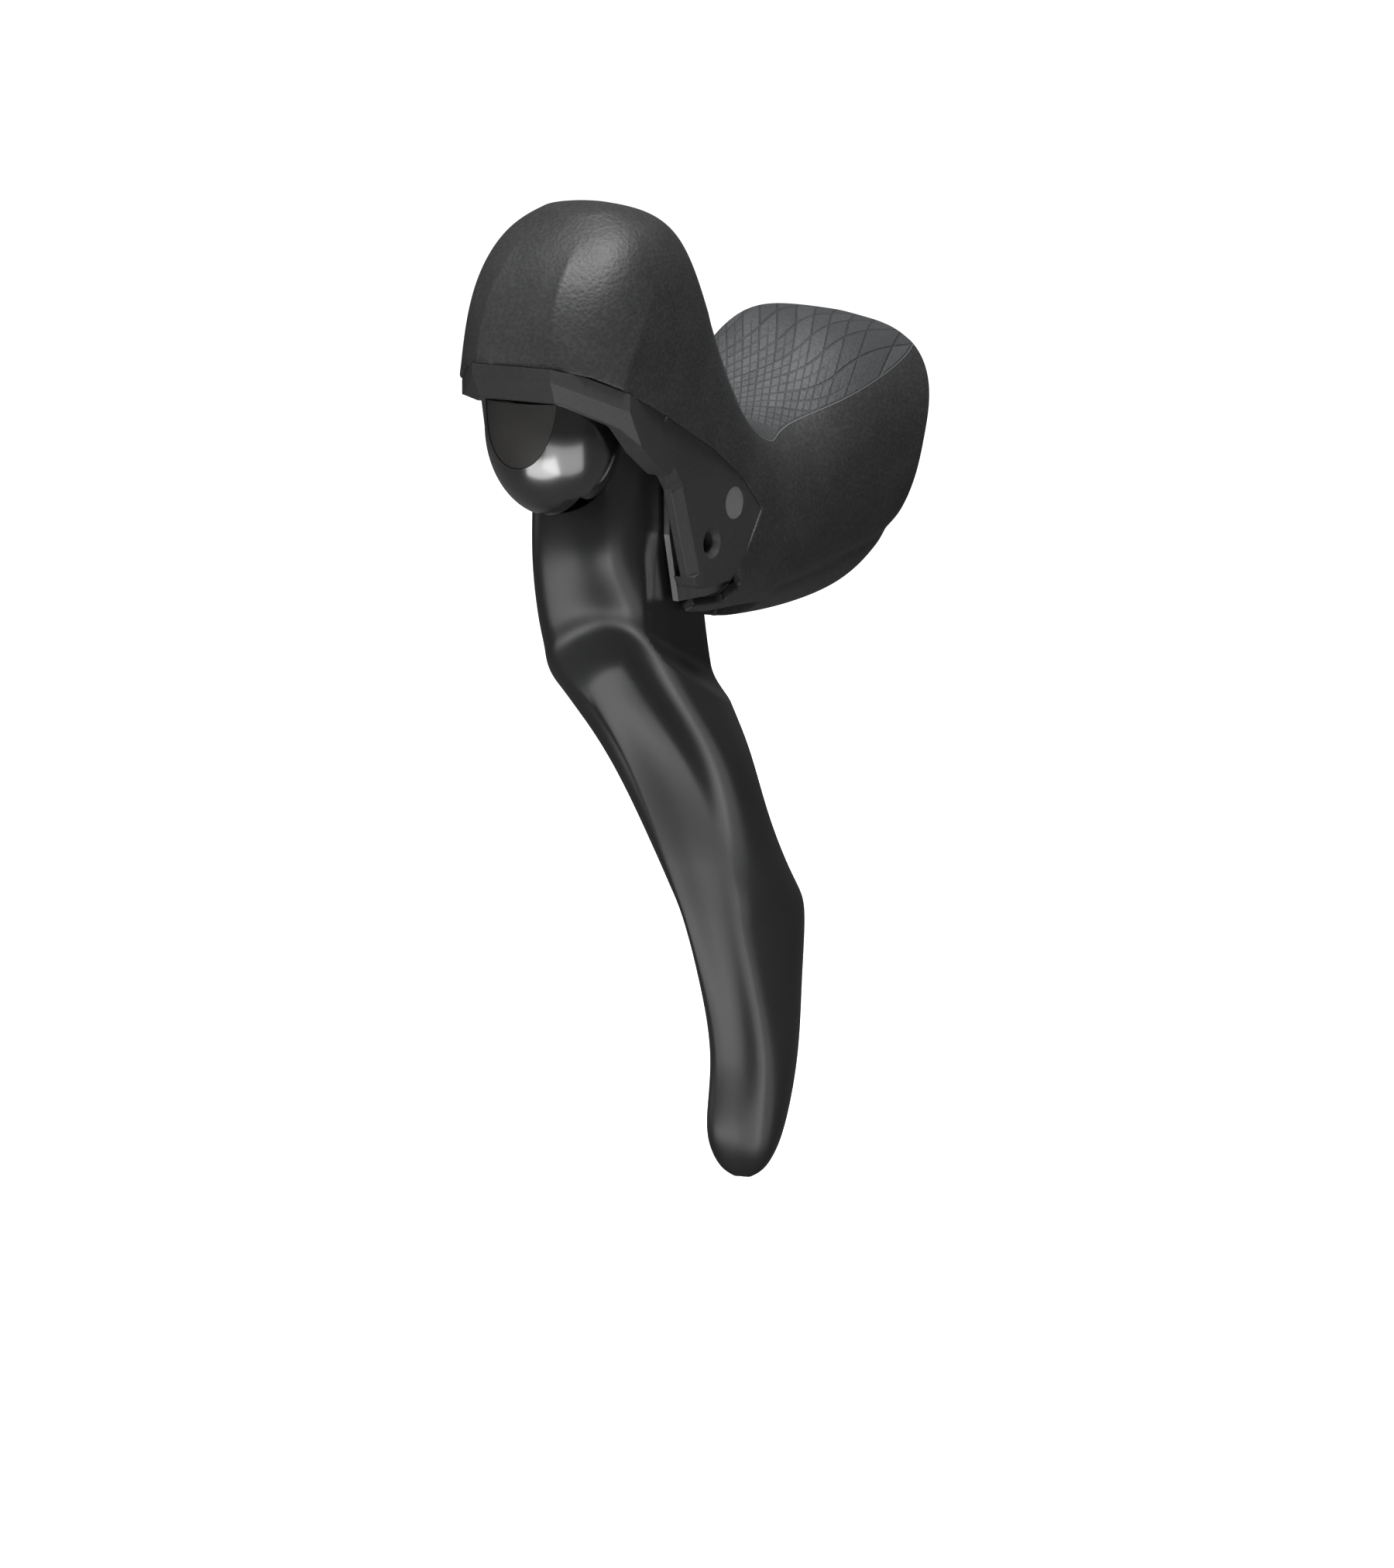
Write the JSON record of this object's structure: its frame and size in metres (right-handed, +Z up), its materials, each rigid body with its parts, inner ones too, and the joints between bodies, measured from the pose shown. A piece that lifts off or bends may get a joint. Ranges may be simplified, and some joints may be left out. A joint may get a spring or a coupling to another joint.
{
  "type": "hydraulic brake lever",
  "caption": "Left-hand hydraulic brake lever for a drop handlebar: rubber hood over a bracket with a reservoir horn and master cylinder, a pivoting blade, and a band clamp.",
  "frame": {"origin": "centre of the handlebar clamp, on the handlebar's axis", "axes": "+Z up along the lever's longest extent, -Y forward towards the front of the bicycle, +X towards the rider's outer side"},
  "size_m": [0.0504, 0.13, 0.1798],
  "materials": {
    "hood_rubber": "matt moulded rubber with a fine grain",
    "bracket_composite": "fine satin moulded composite",
    "blade_alloy": "satin black anodised alloy",
    "gloss_cover": "smooth glossy black",
    "plate_plastic": "matt dark plate",
    "bright_steel": "zinc-plated or stainless steel",
    "axle_steel": "turned steel, bead blasted",
    "black_steel": "black oxide steel",
    "alloy": "machined alloy",
    "bronze": "sintered bronze bush",
    "seal_rubber": "moulded seal rubber",
    "piston_resin": "moulded phenolic resin"
  },
  "bodies": {
    "bracket": {"hood_cover": "hood_rubber", "bracket_body": "bracket_composite", "reservoir_lid": "bracket_composite", "reservoir_diaphragm": "seal_rubber", "lid_screws": "black_steel", "bleed_screw": "bright_steel", "bleed_o_ring": "seal_rubber", "cylinder_sleeve": "alloy", "snap_ring": "bright_steel", "piston_spring": "bright_steel", "pivot_axle": "axle_steel", "axle_set_screw": "black_steel", "ear_plates": "bright_steel", "return_spring": "bright_steel", "clamp_band": "bright_steel", "clamp_nut": "bright_steel", "clamp_bolt": "black_steel"},
    "link": {"lever_link": "bright_steel", "link_bush": "bronze", "thrust_roller": "bright_steel", "roller_pin": "bright_steel"},
    "blade": {"lever_blade": "blade_alloy", "blade_bushes": "bronze", "knuckle_cover": "gloss_cover", "name_plate": "plate_plastic", "cover_screw": "black_steel", "reach_nut": "bright_steel"},
    "reach_adjuster": {"reach_screw": "black_steel"},
    "piston_set": {"piston": "piston_resin", "primary_cup": "seal_rubber", "secondary_cup": "seal_rubber", "push_rod": "bright_steel"},
    "stroke_adjuster": {"free_stroke_screw": "black_steel"}
  },
  "joints": [
    {"name": "lever_pull", "type": "hinge", "parent": "bracket", "child": "link", "pos_m": [0, -0.0696, -0.0055], "axis": [1, 0, 0], "range_deg": [0, 20], "stiffness_Nm_per_rad": 0.6, "springref_deg": -20.05, "deforming": ["return_spring", "piston_spring"]},
    {"name": "reach_adjust", "type": "hinge", "parent": "link", "child": "blade", "pos_m": [0, -0.0696, -0.0055], "axis": [1, 0, 0], "range_deg": [0, 4]},
    {"name": "reach_screw_turn", "type": "hinge", "parent": "link", "child": "reach_adjuster", "pos_m": [0, -0.086, 0], "axis": [0, 0, 1], "range_deg": [0, 516.2]},
    {"name": "piston_stroke", "type": "slide", "parent": "bracket", "child": "piston_set", "axis": [0, 1, 0], "range_m": [0, 0.00499]},
    {"name": "free_stroke_turn", "type": "hinge", "parent": "blade", "child": "stroke_adjuster", "pos_m": [0.0104, -0.0772, -0.012], "axis": [1, 0, 0], "range_deg": [0, 720]}
  ],
  "couplings": [
    {"joint": "reach_screw_turn", "follows": "reach_adjust", "ratio": 128.81},
    {"joint": "piston_stroke", "follows": "lever_pull", "m_per_rad": 0.014}
  ]
}
